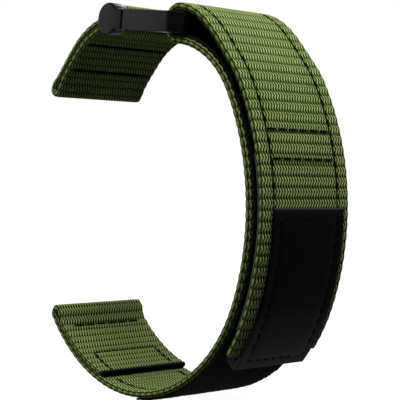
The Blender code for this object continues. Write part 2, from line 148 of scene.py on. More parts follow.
def rib_dip(rib):
    """How deep the weave dips along the strap: 1 between ribs, less halfway."""
    from_groove = np.abs(rib - np.round(rib))
    from_middle = np.abs(rib - np.floor(rib) - 0.5)
    return near(from_groove, DIP_WIDTH) + HALFWAY_DIP * near(from_middle, HALFWAY_WIDTH)


SWAY, SWAY_LEAN = 0.26, 0.25
SWAY_START = 0.125


def yarn_sway(rib):
    """Over a rib each warp yarn leans slowly one way and back faster, in yarn widths."""
    turn = 2 * np.pi * (rib - SWAY_START)
    return SWAY * (np.sin(turn) - SWAY_LEAN * np.sin(2 * turn))


# Each kind of seam: how hard it pulls the weave down, over what width, and how
# far beside the row itself.
SEAM_PULLS = {
    "along": (1.0, 0.00028, 0.0),
    "across": (0.6, 0.00040, 0.00030),
    "deep": (1.0, 0.00042, 0.0),
}


def stitch_dent(seams, along, across):
    """How far the seams pull the weave down, 0 to 1."""
    dent = np.zeros(np.broadcast(along, across).shape)
    for kind, place, first, last in seams:
        line, other = (across, along) if kind == "along" else (along, across)
        inside = (other > first) & (other < last)
        pull, width, shift = SEAM_PULLS[kind]
        dent = np.maximum(dent, pull * near(line - place - shift, width) * inside)
    return dent


def linked(name, work, crease=180.0):
    """A piece from a worked mesh: faces turned outwards, smooth up to a crease angle."""
    bmesh.ops.recalc_face_normals(work, faces=work.faces)
    mesh = bpy.data.meshes.new(name)
    work.to_mesh(mesh)
    work.free()
    mesh.shade_smooth()
    mesh.set_sharp_from_angle(angle=math.radians(crease))
    made = bpy.data.objects.new(name, mesh)
    bpy.context.scene.collection.objects.link(made)
    return made


def skinned(name, verts, faces, crease=180.0):
    """A closed piece from its points and faces."""
    mesh = bpy.data.meshes.new("skin")
    mesh.from_pydata(np.asarray(verts).reshape(-1, 3).tolist(), [], faces)
    work = bmesh.new()
    work.from_mesh(mesh)
    bpy.data.meshes.remove(mesh)
    return linked(name, work, crease)


def tube_faces(rows, around):
    """The faces of a closed tube of rows rings, with a cap on each end."""
    number = np.arange(rows * around).reshape(rows, around)
    beside = np.roll(number, -1, 1)
    quads = np.stack([number[:-1], number[1:], beside[1:], beside[:-1]], -1)
    return quads.reshape(-1, 4).tolist() + [number[0].tolist(), number[-1, ::-1].tolist()]


def off_line(points, left, y, h):
    """Points at y across the strap and h to the left of a line in X-Z."""
    place = np.empty((*y.shape, 3))
    place[..., 0] = points[:, None, 0] + left[:, None, 0] * h
    place[..., 1] = y
    place[..., 2] = points[:, None, 1] + left[:, None, 1] * h
    return place


def woven_strip(name, points, left, rib, half, along, seams_left=(), seams_right=()):
    """Webbing laid on a line in X-Z, as one closed skin with its ribs and yarns.

    rib counts the ribs along it, half is half its thickness, and along is the
    length that its seams are measured on. seams_left are on the side that left
    points to.
    """
    columns = round(2 * FACE_HALF / YARN_PITCH) * YARN_COLUMNS
    face = np.linspace(-FACE_HALF, FACE_HALF, columns + 1)
    turn = np.linspace(0, np.pi, EDGE_TURNS + 2)[1:-1]
    rib, half, along = (np.reshape(a, (-1, 1)) for a in (rib, half, along))
    dip = rib_dip(rib)

    def face_height(seams):
        yarn = face / YARN_PITCH - yarn_sway(rib)
        gap = 1 - np.abs(np.cos(np.pi * yarn)) ** YARN_ROUNDNESS
        dent = stitch_dent(seams, along, face[None, :])
        fall = RIB_GROOVE * dip + YARN_GROOVE * gap + SEAM_DEPTH * dent
        return half - fall, dent

    def edge_turn(side):
        waist = near((rib + 0.5) % 1 - 0.5, WAIST_WIDTH)
        every_other = (np.floor(rib) % 2) * near(rib % 1 - 0.5, UNEVEN_WIDTH)
        loops = 1 - EDGE_WAIST * waist - EDGE_UNEVEN * every_other
        reach = EDGE_RADIUS * loops * np.sin(turn)[None, :] ** EDGE_ROUNDNESS
        height = (half - WAIST_DEPTH * waist) * np.cos(turn)[None, :]
        return side * (FACE_HALF + reach), height

    high, dent_left = face_height(seams_left)
    low, dent_right = face_height(seams_right)
    far_y, far_h = edge_turn(1)
    near_y, near_h = edge_turn(-1)
    rows = len(rib)
    faces = np.repeat(face[None, :], rows, 0)
    y = np.concatenate([faces, far_y, faces[:, ::-1], near_y], 1)
    h = np.concatenate([high, far_h, -low[:, ::-1], -near_h], 1)
    blank = np.zeros_like(far_h)
    edge = blank + 1 - np.abs(2 * turn / np.pi - 1)[None, :]
    none = np.zeros_like(high)
    on_edge = np.concatenate([none, edge, none, edge], 1)
    dent = np.concatenate([dent_left, blank, dent_right[:, ::-1], blank], 1)
    on_face = np.clip(y, -FACE_HALF, FACE_HALF) / YARN_PITCH
    yarn = on_face + np.sign(y) * EDGE_YARNS * on_edge
    around = y.shape[1]

    made = skinned(name, off_line(points, left, y, h), tube_faces(rows, around))
    for word, values in (
        ("rib", np.repeat(rib, around, 1)), ("yarn", yarn), ("edge", on_edge), ("dent", dent),
    ):
        layer = made.data.attributes.new(word, "FLOAT", "POINT")
        layer.data.foreach_set("value", values.astype(np.float32).ravel())
    return made


class Wire:
    """A shader socket that Python's own signs do maths on."""

    def __init__(self, tree, socket):
        self.tree, self.socket = tree, socket

    def node(self, kind, settings=None, **inputs):
        """Adds a node: its settings first, then the values or links of its sockets."""
        made = self.tree.nodes.new(kind)
        for name, value in (settings or {}).items():
            if name == "stops":
                ramp = made.color_ramp
                while len(ramp.elements) < len(value):
                    ramp.elements.new(0.5)
                for stop, (place, colour) in zip(ramp.elements, value):
                    stop.position = place
                    stop.color = (*colour, 1.0)
            else:
                setattr(made, name, value)
        for name, value in inputs.items():
            key = int(name[1:]) if name[0] == "_" else name.replace("_", " ")
            self.feed(made.inputs[key], value)
        return made

    def feed(self, socket, value):
        if isinstance(value, Wire):
            self.tree.links.new(value.socket, socket)
        else:
            socket.default_value = value

    def maths(self, operation, *values, clamp=False):
        settings = {"operation": operation, "use_clamp": clamp}
        inputs = {f"_{i}": v for i, v in enumerate(values)}
        return Wire(self.tree, self.node("ShaderNodeMath", settings, **inputs).outputs[0])

    def __add__(self, other):
        return self.maths("ADD", self, other)

    def __sub__(self, other):
        return self.maths("SUBTRACT", self, other)

    def __rsub__(self, other):
        return self.maths("SUBTRACT", other, self)

    def __mul__(self, other):
        return self.maths("MULTIPLY", self, other)

    def __truediv__(self, other):
        return self.maths("DIVIDE", self, other)

    def __pow__(self, other):
        return self.maths("POWER", self, other)

    def __abs__(self):
        return self.maths("ABSOLUTE", self)

    __radd__, __rmul__ = __add__, __mul__

    def wave(self, turns=1.0):
        """The sine of this value, which counts whole turns."""
        return self.maths("SINE", self * (2 * math.pi * turns))

    def held(self):
        return self.maths("ADD", self, 0.0, clamp=True)


def finish_of(name, roughness=0.5, metallic=0.0, **fixed):
    """A new material: its shader, and a wire to build on."""
    made = bpy.data.materials.new(name)
    made.use_nodes = True
    shader = made.node_tree.nodes["Principled BSDF"]
    shader.inputs["Roughness"].default_value = roughness
    shader.inputs["Metallic"].default_value = metallic
    for word, value in fixed.items():
        shader.inputs[word.replace("_", " ")].default_value = value
    return made, shader, Wire(made.node_tree, None)


def carried(wire, word):
    """A value that the mesh carries at each point."""
    value = wire.node("ShaderNodeAttribute", {"attribute_name": word})
    return Wire(wire.tree, value.outputs["Fac"])


def grain(wire, scale, detail=2.0, stretch=None):
    """Noise on the real size of the piece: scale is in cells a metre."""
    place = wire.node("ShaderNodeTexCoord").outputs["Object"]
    noise = wire.node("ShaderNodeTexNoise", Scale=scale, Detail=detail)
    if stretch:
        moved = wire.node("ShaderNodeMapping", Vector=Wire(wire.tree, place), Scale=stretch)
        place = moved.outputs[0]
    wire.tree.links.new(place, noise.inputs["Vector"])
    return Wire(wire.tree, noise.outputs["Fac"])


def tinted(wire, shader, share, low, high):
    """Colours a finish between two colours."""
    mix = wire.node(
        "ShaderNodeMix", {"data_type": "RGBA"}, _0=share, _6=(*low, 1.0), _7=(*high, 1.0)
    )
    wire.tree.links.new(mix.outputs[2], shader.inputs["Base Color"])


def raised(wire, shader, height, distance, strength=1.0):
    """Bump of a height from 0 to 1, over a real distance."""
    bump = wire.node("ShaderNodeBump", Strength=strength, Distance=distance, Height=height)
    wire.tree.links.new(bump.outputs[0], shader.inputs["Normal"])


def webbing_finish():
    """Olive nylon: pale where a yarn crests, with painted shade where it dives, in the grooves
    between ribs, in the seams' dents and over the plaited edge.
    """
    made, shader, wire = finish_of("olive_webbing", roughness=0.75, Specular_IOR_Level=0.005)
    rib, yarn = carried(wire, "rib"), carried(wire, "yarn")
    edge, dent = carried(wire, "edge"), carried(wire, "dent")
    swayed = rib - SWAY_START
    sway = SWAY * (swayed.wave() - SWAY_LEAN * swayed.wave(2.0))
    lane = yarn - sway * (1 - edge * 0.9)
    # Painted shade: dark in the gaps between yarns and in the grooves between ribs.
    crest = abs((lane * 0.5 + 0.25).wave()) ** 2.3
    between = ((rib + 0.25).wave() * 0.5 + 0.5) ** 7.0
    halfway = ((rib + 0.75).wave() * 0.5 + 0.5) ** 9.0
    filled = crest + (1 - crest) * halfway * 0.16
    row = filled * (1 - between * (1 - crest * 0.55) * 0.85)
    # The plaited edge is painted darker, as the shade on its side, darkest in the grooves.
    shown = row * (1 - edge * 0.42) + edge * (0.23 - between * 0.16)
    patch = grain(wire, 260.0, 3.0) * 0.30 + 0.85
    fibre = grain(wire, 9000.0, 2.0) * 0.6 + 0.70
    # Painted shade in the dents that the seams pull into the weave.
    share = (shown * (1 - dent * 0.75) * patch * fibre * 1.08).held()
    colour = wire.node(
        "ShaderNodeValToRGB",
        {"stops": [
            (0.0, (0.004, 0.007, 0.0015)),
            (0.22, (0.036, 0.062, 0.009)),
            (0.55, (0.171, 0.263, 0.051)),
            (1.0, (0.572, 0.694, 0.292)),
        ]},
        Fac=share,
    )
    wire.tree.links.new(colour.outputs[0], shader.inputs["Base Color"])
    strands = (lane * 5.0 + rib * 1.5).wave() * 0.5 + 0.5
    raised(wire, shader, row * 0.7 + strands * 0.12 + fibre * 0.2, 0.00014, 0.8)
    return made


olive_webbing = webbing_finish()

# How far the long seams lie from the strap's middle and where they begin, and
# how far from the lug the row beside the roll and the box of stitches lie.
LONG_SEAMS, LONG_SEAM_START = (-0.0075, 0.0075), 0.0200
ROLL_SEAM, ROLL_SEAM_HALF = 0.0038, 0.0080
BOX_SEAM, BOX_HALF = 0.0117, 0.0073

lug_side = np.array([-math.sin(LUG_HEADING), math.cos(LUG_HEADING)])
roll_radius = (WEBBING_THICKNESS + TUNNEL_OPENING) / 2
wrist_line, wrist_length = lay_line(-roll_radius * lug_side, LUG_HEADING, WRIST_BENDS)
roll_length = math.pi * roll_radius
roll_end = FOLDED_BACK_LENGTH + roll_length
long_length = roll_end + wrist_length
long_ribs = round(long_length / RIB_PITCH)
long_rib = np.arange(long_ribs * RIB_ROWS + 1) / RIB_ROWS
laid = long_rib / long_ribs * long_length
on_fold, on_roll = laid < FOLDED_BACK_LENGTH, laid < roll_end
station = np.where(on_fold, FOLDED_BACK_LENGTH - laid, laid - FOLDED_BACK_LENGTH - roll_length)
run_points, run_left = wrist_line(np.maximum(station, 0.0))
near_lug = eased(station / TUNNEL_LENGTH)
pressed = SEWN_THICKNESS + (WEBBING_THICKNESS - SEWN_THICKNESS) * near_lug
layer = np.where(on_fold, pressed, WEBBING_THICKNESS) / 2
lift = HALF_WEBBING + TUNNEL_OPENING * near_lug + layer
turned = LUG_HEADING + math.pi / 2 + (laid - FOLDED_BACK_LENGTH) / roll_length * math.pi
outward = np.stack([np.cos(turned), np.sin(turned)], 1)
long_points = np.where(
    on_fold[:, None],
    run_points + lift[:, None] * run_left,
    np.where(on_roll[:, None], outward * roll_radius, run_points),
)
long_left = np.where(
    on_fold[:, None], -run_left, np.where(on_roll[:, None], -outward, run_left)
)
long_webbing = woven_strip(
    "long_webbing_woven", long_points, long_left, long_rib, layer, laid,
    seams_left=[("along", y, roll_end + LONG_SEAM_START, long_length) for y in LONG_SEAMS],
    seams_right=[
        ("across", FOLDED_BACK_LENGTH - ROLL_SEAM, -ROLL_SEAM_HALF, ROLL_SEAM_HALF),
        ("across", FOLDED_BACK_LENGTH - BOX_SEAM, -BOX_HALF, BOX_HALF),
        ("along", -BOX_HALF, 0.0, FOLDED_BACK_LENGTH - BOX_SEAM),
        ("along", BOX_HALF, 0.0, FOLDED_BACK_LENGTH - BOX_SEAM),
        ("across", roll_end + ROLL_SEAM, -ROLL_SEAM_HALF, ROLL_SEAM_HALF),
        ("across", roll_end + BOX_SEAM, -BOX_HALF, BOX_HALF),
    ],
)
long_webbing.data.materials.append(olive_webbing)
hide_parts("long_webbing")
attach(long_webbing, "long_strap")

# The same webbing where it turns back round the buckle's crossbar. It is a piece of its own here.

CROSSBAR_THICKNESS = 0.0029
RUNNING_GAP = 0.0003
LOOP_THICKNESS = 0.0004
SEWN_GAP = 0.0001
FOLD_RIBS = 6
fold_inner = CROSSBAR_THICKNESS / 2 + RUNNING_GAP + LOOP_THICKNESS + SEWN_GAP
fold_radius = fold_inner + HALF_WEBBING
arm_up = np.array([-math.sin(BUCKLE_ANGLE), math.cos(BUCKLE_ANGLE)])
arm_line = np.array([math.cos(BUCKLE_ANGLE), math.sin(BUCKLE_ANGLE)])
crossbar = wrist_line(wrist_length)[0][0] + fold_radius * arm_up

fold_rib = np.arange(FOLD_RIBS * RIB_ROWS + 1) / RIB_ROWS
turned = BUCKLE_ANGLE - math.pi / 2 - fold_rib / FOLD_RIBS * math.pi
outward = np.stack([np.cos(turned), np.sin(turned)], 1)
fold_webbing = woven_strip(
    "webbing_fold_woven", crossbar + fold_radius * outward, outward, fold_rib,
    np.full(len(fold_rib), HALF_WEBBING), np.zeros(len(fold_rib)),
)
fold_webbing.data.materials.append(olive_webbing)
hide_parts("webbing_fold")


def bend_at_crossbar(piece):
    """Bakes the piece's placement into its mesh."""
    low, high = crossbar - fold_radius * arm_up, crossbar + fold_radius * arm_up
    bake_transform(piece)


bend_at_crossbar(fold_webbing)
long_length + math.pi * fold_radius

# The end of the same webbing, which lies back over the long strap and closes
# on it. Two rows of black stitching hold its hook and loop tapes.

HOOK_THICKNESS = 0.0009
CLOSED_PLAY = 0.0002
CLOSED_GAP = LOOP_THICKNESS + HOOK_THICKNESS + 2 * SEWN_GAP + CLOSED_PLAY
WEDGE_LENGTH = 0.0125
TAIL_LENGTH = 0.0605
TAIL_SEAMS = (-0.0076, 0.0073)
TAIL_SEAM_START, TAIL_SEAM_END = 0.001, 0.040
TAIL_CROSS_SEAMS = (0.02475, 0.0293)


def tail_place(from_crossbar, out):
    """A point of the tail, and the way out from it. out starts at its inner face."""
    from_crossbar = np.asarray(from_crossbar, float)
    spread = (2 * fold_inner - CLOSED_GAP) * eased(from_crossbar / WEDGE_LENGTH)
    off = -(HALF_WEBBING + CLOSED_GAP + spread + out)
    points, sides = wrist_line(wrist_length - from_crossbar, off)
    return points, -sides


tail_ribs = round(TAIL_LENGTH / RIB_PITCH)
tail_rib = np.arange(tail_ribs * RIB_ROWS + 1) / RIB_ROWS
tail_station = tail_rib / tail_ribs * TAIL_LENGTH
tail_points, tail_out = tail_place(tail_station, HALF_WEBBING)
tail_webbing = woven_strip(
    "tail_webbing_woven", tail_points, tail_out, tail_rib,
    np.full(len(tail_rib), HALF_WEBBING), tail_station,
    seams_left=[
        *(("along", y, TAIL_SEAM_START, TAIL_SEAM_END) for y in TAIL_SEAMS),
        *(("across", s, *TAIL_SEAMS) for s in TAIL_CROSS_SEAMS),
    ],
)
tail_webbing.data.materials.append(olive_webbing)
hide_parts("tail_webbing")
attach(tail_webbing, "tail")

# A second, short length of the webbing: a loop through the buckle's hinge and
# round the other lug's bar, its two ends meeting in a seam on the inner side.

HINGE_TO_CROSSBAR = 0.0160
HINGE_LOOP_RADIUS = 0.00145
HINGE_LOOP_TAPER = 0.0055
SHORT_BENDS = [(0.017, math.radians(51.0)), (0.090, math.radians(5.8))]
SHORT_RIBS = 34
SEAM_STATION = 0.0118
SEAM_GAP = 0.00006
SEAM_TO_LUG = 0.0053
SHORT_SEAM_HALF = 0.0092

hinge = crossbar - HINGE_TO_CROSSBAR * arm_line
short_line, short_length = lay_line(hinge, math.pi + BUCKLE_ANGLE, SHORT_BENDS)
SHORT_SEAMS = (SEAM_STATION, short_length - SEAM_TO_LUG)


def short_layer(station):
    """From the short strap's middle line to the middle of either layer."""
    loop = HINGE_LOOP_RADIUS * eased(station / HINGE_LOOP_TAPER)
    tunnel = TUNNEL_OPENING / 2 * eased((short_length - station) / TUNNEL_LENGTH)
    return HALF_WEBBING + loop + tunnel


pin_turn, lug_turn = HINGE_LOOP_RADIUS + HALF_WEBBING, TUNNEL_OPENING / 2 + HALF_WEBBING
short_legs = [
    SEAM_STATION - SEAM_GAP / 2, math.pi * pin_turn, short_length,
    math.pi * lug_turn, short_length - SEAM_STATION - SEAM_GAP / 2,
]
leg_starts = np.concatenate([[0.0], np.cumsum(short_legs)])


def short_path(laid):
    """The loop's line from the seam, round the pin, the lug's bar and back to it.

    Legs 0 and 4 run back along the inner side, from their top station down.
    """
    leg = np.clip(np.searchsorted(leg_starts, laid, "right") - 1, 0, 4)
    into = laid - leg_starts[leg]
    points, left = np.zeros((len(laid), 2)), np.zeros((len(laid), 2))
    for number, top in ((0, short_legs[0]), (2, None), (4, short_length)):
        here = leg == number
        station = into[here] if top is None else top - into[here]
        side = -1 if top is None else 1
        points[here], normal = short_line(station, side * short_layer(station))
        left[here] = -side * normal
    for number, station, radius, start in (
        (1, 0.0, pin_turn, 0.0), (3, short_length, lug_turn, math.pi),
    ):
        here = leg == number
        centre, normal = short_line(station)
        turned = math.atan2(normal[0, 1], normal[0, 0]) + start + into[here] / radius
        out = np.stack([np.cos(turned), np.sin(turned)], 1)
        points[here], left[here] = centre + radius * out, -out
    return points, left


def short_seams(side):
    """The stations of the seams on the inner face, side 1, or the outer one, side -1.

    Each is moved to the groove between two ribs that lies nearest.
    """
    pitch = leg_starts[-1] / SHORT_RIBS
    for station in SHORT_SEAMS:
        if side < 0:
            begun, way = leg_starts[2], 1
        elif station <= SEAM_STATION:
            begun, way = short_legs[0], -1
        else:
            begun, way = leg_starts[4] + short_length, -1
        place = round((begun + way * station) / pitch) * pitch
        yield (place - begun) * way, place


short_rib = np.arange(SHORT_RIBS * RIB_ROWS + 1) / RIB_ROWS
short_laid = short_rib / SHORT_RIBS * leg_starts[-1]
short_points, short_left = short_path(short_laid)
short_webbing = woven_strip(
    "short_webbing_woven", short_points, short_left, short_rib,
    np.full(len(short_rib), HALF_WEBBING), short_laid,
    seams_right=[
        ("deep", place, -SHORT_SEAM_HALF, SHORT_SEAM_HALF)
        for place in [leg_starts[-1], *(p for side in (1, -1) for _, p in short_seams(side))]
    ],
)
short_webbing.data.materials.append(olive_webbing)
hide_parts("short_webbing")
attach(short_webbing, "short_strap")

# Black knitted loop pile sewn along the long strap's outer face and under the
# tail's first half, and a strip of moulded hooks under its second half.

TAPE_HALF = 0.0097
LOOP_START = 0.0290
TAIL_LOOP_LENGTH = 0.0262
HOOK_START = TAIL_LOOP_LENGTH + 0.0021
HOOK_END = 0.0560
PILE_STEP = 0.00045
PILE_FRAY = 0.00012


def tape_strip(name, points, left, thickness, pile, seed):
    """A strip of tape whose right-hand side stands in a rough pile."""
    chance = np.random.default_rng(seed)
    columns = round(2 * TAPE_HALF / PILE_STEP)
    across = np.linspace(-TAPE_HALF, TAPE_HALF, columns + 1)
    rows = len(points)
    rough = pile * chance.random((rows, columns + 1))
    ragged = PILE_FRAY * chance.random((rows, 2)) if pile else np.zeros((rows, 2))
    back = np.full((rows, columns + 1), thickness / 2)
    face = back - rough
    y = np.repeat(across[None, :], rows, 0)
    y[:, 0] += ragged[:, 0]
    y[:, -1] -= ragged[:, 1]
    y = np.concatenate([y, y[:, ::-1]], 1)
    h = np.concatenate([back, -face[:, ::-1]], 1)
    faces = tube_faces(rows, y.shape[1])
    return skinned(name, off_line(points, left, y, h), faces, crease=50.0)


def loop_pile_finish():
    """Black nylon loops: matt, speckled where single threads catch the light."""
    made, shader, wire = finish_of("loop_pile", roughness=0.9, Specular_IOR_Level=0.012)
    tuft = grain(wire, 3200.0, 3.0)
    speck = ((grain(wire, 7000.0, 1.0) - 0.56) * 9.0).held()
    share = (tuft * 0.34 + speck * 0.7).held()
    tinted(wire, shader, share, (0.001, 0.001, 0.0015), (0.100, 0.104, 0.110))
    raised(wire, shader, tuft + speck * 0.5, 0.0003)
    return made


def hook_plastic_finish():
    """Moulded black nylon with a faint sheen on its edge."""
    made, shader, wire = finish_of("hook_plastic", roughness=0.5, Specular_IOR_Level=0.10)
    mottle = grain(wire, 1800.0, 3.0)
    tinted(wire, shader, mottle, (0.050, 0.050, 0.056), (0.120, 0.120, 0.132))
    raised(wire, shader, mottle, 0.00006)
    return made


loop_pile, hook_plastic = loop_pile_finish(), hook_plastic_finish()


def tape_stations(start, end):
    return np.linspace(start, end, max(2, round((end - start) / PILE_STEP)) + 1)


run_tape_depth = HALF_WEBBING + SEWN_GAP + LOOP_THICKNESS / 2
run_tape = tape_strip(
    "loop_tape_pile", *wrist_line(tape_stations(LOOP_START, wrist_length), -run_tape_depth),
    LOOP_THICKNESS, pile=0.00016, seed=3,
)
run_tape.data.materials.append(loop_pile)
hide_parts("loop_tape")
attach(run_tape, "long_strap")

FOLD_TAPE_ROWS = 22
turned = BUCKLE_ANGLE - math.pi / 2 - np.linspace(0, math.pi, FOLD_TAPE_ROWS)
outward = np.stack([np.cos(turned), np.sin(turned)], 1)
fold_tape_radius = fold_inner - SEWN_GAP - LOOP_THICKNESS / 2
fold_tape = tape_strip(
    "loop_tape_fold_pile", crossbar + fold_tape_radius * outward, outward,
    LOOP_THICKNESS, pile=0.00010, seed=4,
)
fold_tape.data.materials.append(loop_pile)
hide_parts("loop_tape_fold")
bend_at_crossbar(fold_tape)

tail_tape = tape_strip(
    "tail_loop_tape_pile",
    *tail_place(tape_stations(0.0, TAIL_LOOP_LENGTH), -SEWN_GAP - LOOP_THICKNESS / 2),
    LOOP_THICKNESS, pile=0.00014, seed=5,
)
tail_tape.data.materials.append(loop_pile)
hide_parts("tail_loop_tape")
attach(tail_tape, "tail")

wrist_length - LOOP_START + math.pi * fold_tape_radius

HOOK_BACKING = 0.00028
HOOK_PITCH, HOOK_ROW_PITCH = 0.00105, 0.00084
HOOK_MARGIN, HOOK_FAR_MARGIN = 0.0006, 0.0004

# Rings up one hook: how far it leans, its height and its radius.
HOOK_RINGS = (
    (0.0, 0.0, 0.00012), (0.0, 0.00030, 0.00010), (0.00003, 0.00046, 0.00009),
    (0.00013, 0.00054, 0.000075), (0.00023, 0.00049, 0.000045),
)
HOOK_SIDES = 4

hook_backing = tape_strip(
    "hook_tape_backing",
    *tail_place(tape_stations(HOOK_START, HOOK_END), -SEWN_GAP - HOOK_BACKING / 2),
    HOOK_BACKING, pile=0.0, seed=6,
)
hook_backing.data.materials.append(hook_plastic)
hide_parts("hook_tape")
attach(hook_backing, "tail")


def hook_rows():
    """Rows of short stalks, each bent over into a hook, on the tape's backing."""
    along = np.arange(HOOK_START + HOOK_MARGIN, HOOK_END - HOOK_FAR_MARGIN, HOOK_PITCH)
    across = np.arange(-TAPE_HALF + HOOK_MARGIN, TAPE_HALF - HOOK_FAR_MARGIN, HOOK_ROW_PITCH)
    corners = math.pi / 4 + np.arange(HOOK_SIDES) * math.pi / 2
    one_hook = tube_faces(len(HOOK_RINGS), HOOK_SIDES)
    verts, faces = [], []
    for row, station in enumerate(along):
        way = 1 if row % 2 else -1
        for y in across:
            faces += [[len(verts) + corner for corner in face] for face in one_hook]
            for lean, height, radius in HOOK_RINGS:
                place, out = tail_place(station + way * lean, -SEWN_GAP - HOOK_BACKING - height)
                (x, z), ahead = place[0], (out[0, 1], -out[0, 0])
                for a in corners:
                    reach = radius * math.cos(a)
                    verts.append((
                        x + reach * ahead[0], y + radius * math.sin(a), z + reach * ahead[1]
                    ))
    return skinned("hook_tape_hooks", verts, faces)


hooks = hook_rows()
hooks.data.materials.append(hook_plastic)
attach(hooks, "tail")

# A black moulded bar clamped over the cut end of the folded webbing, with
# round ends, standing just proud of the layer that it finishes.

BAR_LENGTH = 0.0009
BAR_HEIGHT = SEWN_THICKNESS + 0.00015
BAR_HALF = 0.0100
BAR_SIDES, BAR_RINGS, BAR_END_RINGS = 28, 30, 7
BAR_SQUARENESS = 0.75
BAR_TIP = 0.05


def moulded_bar():
    """The bar as rings along its length, smaller in its rounded ends."""
    station = FOLDED_BACK_LENGTH + SEWN_GAP + BAR_LENGTH / 2
    (base,), (normal,) = wrist_line(station, HALF_WEBBING)
    ahead = np.array([normal[1], -normal[0]])
    middle = base + normal * (SEWN_GAP + BAR_HEIGHT) / 2
    turns = np.linspace(0, 2 * math.pi, BAR_SIDES, endpoint=False)
    ends = np.linspace(0, math.pi / 2, BAR_END_RINGS)
    round_end = BAR_LENGTH / 2
    straight = np.linspace(-BAR_HALF + round_end, BAR_HALF - round_end, BAR_RINGS)[1:-1]
    rings = [
        *((-BAR_HALF + round_end * (1 - math.sin(a)), math.cos(a)) for a in ends[::-1]),
        *((y, 1.0) for y in straight),
        *((BAR_HALF - round_end * (1 - math.sin(a)), math.cos(a)) for a in ends),
    ]
    verts = []
    for y, size in rings:
        size = max(size, BAR_TIP)
        for a in turns:
            c, s = math.cos(a), math.sin(a)
            wide = math.copysign(abs(c) ** BAR_SQUARENESS, c) * BAR_LENGTH / 2 * size
            tall = math.copysign(abs(s) ** BAR_SQUARENESS, s) * (BAR_HEIGHT - SEWN_GAP) / 2 * size
            spot = middle + ahead * wide + normal * tall
            verts.append((spot[0], y, spot[1]))
    return skinned("webbing_end_bar_moulded", verts, tube_faces(len(rings), BAR_SIDES))


def bar_finish():
    made, shader, wire = finish_of("bar_plastic", roughness=0.55, Specular_IOR_Level=0.012)
    mottle = grain(wire, 2600.0, 2.0)
    tinted(wire, shader, mottle, (0.0008, 0.0008, 0.0008), (0.006, 0.006, 0.006))
    raised(wire, shader, mottle, 0.00008)
    return made


end_bar = moulded_bar()
end_bar.data.materials.append(bar_finish())
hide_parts("webbing_end_bar")
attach(end_bar, "long_strap")

# Black leather-look sheet, glued and stitched round the tail's end: a long
# front piece, slightly padded inside its stitching, and a short back piece.

TAB_START, TAB_END = 0.0367, 0.0625
TAB_BACK_START = 0.0566
TAB_HALF = 0.0082
TAB_THICKNESS = 0.0006
TAB_STEP = 0.0003
TAB_ROUND = 0.00016
TAB_BORDER = 0.00165
TAB_SEAM_DEPTH, TAB_SEAM_WIDTH = 0.00010, 0.00022
TAB_PAD, TAB_PAD_SLOPE = 0.00006, 0.0016


def tab_lines(first, last):
    """Even grid lines across the sheet, closer together along its two edges."""
    inset = np.array([0.0, 0.00004, 0.0001, 0.0002])
    even = np.linspace(first, last, round((last - first) / TAB_STEP) + 1)[1:-1]
    return np.concatenate([first + inset, even, last - inset[::-1]])


def tab_sheet(name, start, low, high):
    """A sheet on the tail from low to high out of its webbing's inner face.

    The back sheet rises past the webbing's end, where it is sewn to the front one.
    """
    a, y = np.meshgrid(tab_lines(start, TAB_END), tab_lines(-TAB_HALF, TAB_HALF), indexing="ij")
    border = np.minimum.reduce([a - start, TAB_END - a, y + TAB_HALF, TAB_HALF - y])
    outward = 1 if high > low else -1
    if outward < 0:
        low = np.where(a > TAIL_LENGTH + TAB_STEP, WEBBING_THICKNESS + SEWN_GAP, low)
    rounding = TAB_ROUND * (1 - np.sqrt(1 - (1 - np.clip(border / TAB_ROUND, 0, 1)) ** 2))
    pad = TAB_PAD * (1 - eased((border - TAB_BORDER) / TAB_PAD_SLOPE))
    seam = TAB_SEAM_DEPTH * near(border - TAB_BORDER, TAB_SEAM_WIDTH)
    top = high - outward * (rounding + seam + TAB_PAD - pad)
    foot = low + outward * rounding * 0.5

    def spots(out):
        place, side = tail_place(a.ravel(), 0.0)
        flat = place + side * out.reshape(-1, 1)
        return np.stack([flat[:, 0], y.ravel(), flat[:, 1]], 1)

    def cells(grid):
        corners = [grid[:-1, :-1], grid[:-1, 1:], grid[1:, 1:], grid[1:, :-1]]
        return np.stack(corners, -1).reshape(-1, 4)

    verts = np.concatenate([spots(top), spots(foot)])
    number = np.arange(a.size).reshape(a.shape)
    under = number + a.size
    ring = np.concatenate([number[0, :-1], number[:-1, -1], number[-1, :0:-1], number[:0:-1, 0]])
    after = np.roll(ring, -1)
    wall = np.stack([ring, ring + a.size, after + a.size, after], -1)
    faces = np.concatenate([cells(number), cells(under)[:, ::-1], wall]).tolist()
    made = skinned(name, verts, faces, crease=50.0)
    down = (a - start) / (TAB_END - start)
    layer = made.data.attributes.new("down", "FLOAT", "POINT")
    layer.data.foreach_set("value", np.concatenate([down, down]).astype(np.float32).ravel())
    return made


def tab_finish():
    """Coated sheet with a fine grain, a painted highlight along its top edge, a painted sheen
    over its upper part and painted light from below near its end.
    """
    made, shader, wire = finish_of("tab_sheet", roughness=0.5, Specular_IOR_Level=0.012)
    pebble = grain(wire, 5200.0, 3.0)
    cloud = grain(wire, 160.0, 2.0)
    down = carried(wire, "down")
    # Painted light: a highlight along the top edge, a sheen over the upper part, and light from
    # below that greys the low end.
    painted_top_edge_highlight = (1 - down / 0.016).held()
    top = (1 - down / 0.10).held()
    painted_low_end_light = (down * 2.6 - 1.5).held()
    share = (pebble * 0.018 + cloud * 0.025 + painted_top_edge_highlight * 0.57 + top * 0.07 + painted_low_end_light).held()
    tinted(wire, shader, share, (0.0008, 0.0008, 0.0009), (0.075, 0.078, 0.075))
    wire.feed(shader.inputs["Roughness"], pebble * 0.2 + 0.42)
    raised(wire, shader, pebble, 0.00004)
    return made


